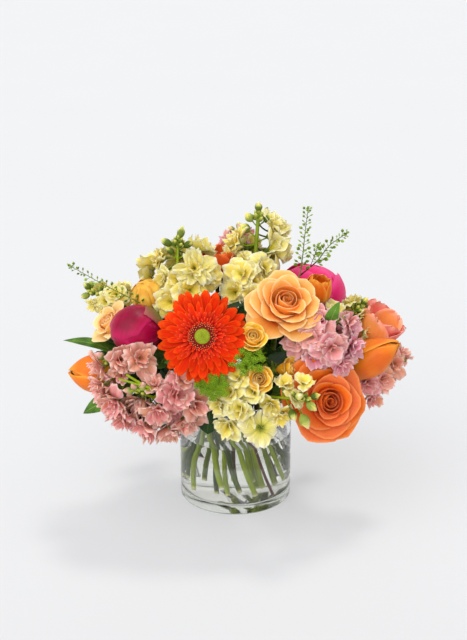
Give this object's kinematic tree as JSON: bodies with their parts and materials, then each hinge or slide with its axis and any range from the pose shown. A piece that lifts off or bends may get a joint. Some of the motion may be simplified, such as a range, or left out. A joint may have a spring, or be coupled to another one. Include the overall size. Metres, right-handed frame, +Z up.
{
  "type": "mixed flower bouquet in a glass vase",
  "caption": "Hand-tied bouquet of gerbera, roses, peonies, tulips, stock and fine sprays standing in a clear glass cylinder of water.",
  "frame": {"origin": "centre of the flat underside of the glass cylinder", "axes": "+Z up along the cylinder, -Y towards the front of the bouquet where the gerbera faces, +X to the right seen from the front"},
  "size_m": [0.3748, 0.2986, 0.3483],
  "materials": {
    "glass": "clear polished glass, faintly green in the thick base",
    "water": "clear water",
    "stem": "fresh green plant stem",
    "gerbera_ray": "satin orange-red petal",
    "gerbera_ring": "dark red short florets",
    "gerbera_eye": "lime-green disc",
    "peach": "satin peach petal",
    "orange": "satin orange petal",
    "crimson": "satin crimson petal",
    "pink": "satin hot pink petal",
    "tulip": "satin orange petal",
    "tulip_red": "satin red-orange petal",
    "coral": "satin coral petal",
    "yellow": "satin golden petal",
    "cream": "ruffled cream petal",
    "stock_pink": "ruffled dusky pink petal",
    "umbel": "fresh green florets"
  },
  "bodies": {
    "root": {"gerbera_eye": "gerbera_eye", "gerbera_rays": "gerbera_ray", "gerbera_ring": "gerbera_ring", "gerbera_stem": "stem", "gold_bud": "yellow", "gold_bud_stem": "stem", "peony_back": "crimson", "peony_left": "crimson", "peony_left_stem": "stem", "peony_pink": "pink", "peony_pink_stem": "stem", "rose_back": "orange", "rose_orange": "orange", "rose_orange_stem": "stem", "rose_pale": "peach", "rose_pale_stem": "stem", "rose_peach": "peach", "rose_peach_stem": "stem", "spray_rose_low": "yellow", "spray_rose_side": "yellow", "spray_rose_stem": "stem", "spray_rose_top": "yellow", "stems_back": "stem", "stock_cream_a": "cream", "stock_cream_a_stem": "stem", "stock_cream_b": "cream", "stock_cream_b_stem": "stem", "stock_cream_c": "cream", "stock_cream_c_stem": "stem", "stock_cream_d": "cream", "stock_cream_d_stem": "stem", "stock_cream_e": "cream", "stock_cream_e_stem": "stem", "stock_cream_f": "cream", "stock_pink_a": "stock_pink", "stock_pink_a_stem": "stem", "stock_pink_b": "stock_pink", "stock_pink_b_stem": "stem", "stock_pink_c": "stock_pink", "stock_pink_c_stem": "stem", "stock_pink_d": "stock_pink", "stock_pink_d_stem": "stem", "stock_pink_e": "stock_pink", "thlaspi_left": "stem", "thlaspi_right": "stem", "tulip_back": "tulip", "tulip_coral": "coral", "tulip_coral_stem": "stem", "tulip_left": "tulip", "tulip_left_stem": "stem", "tulip_red": "tulip_red", "tulip_red_stem": "stem", "tulip_right": "tulip", "tulip_right_stem": "stem", "tulip_top": "tulip", "tulip_top_stem": "stem", "umbel_low": "umbel", "umbel_top": "umbel", "vase": "glass", "water": "water"}
  },
  "joints": []
}
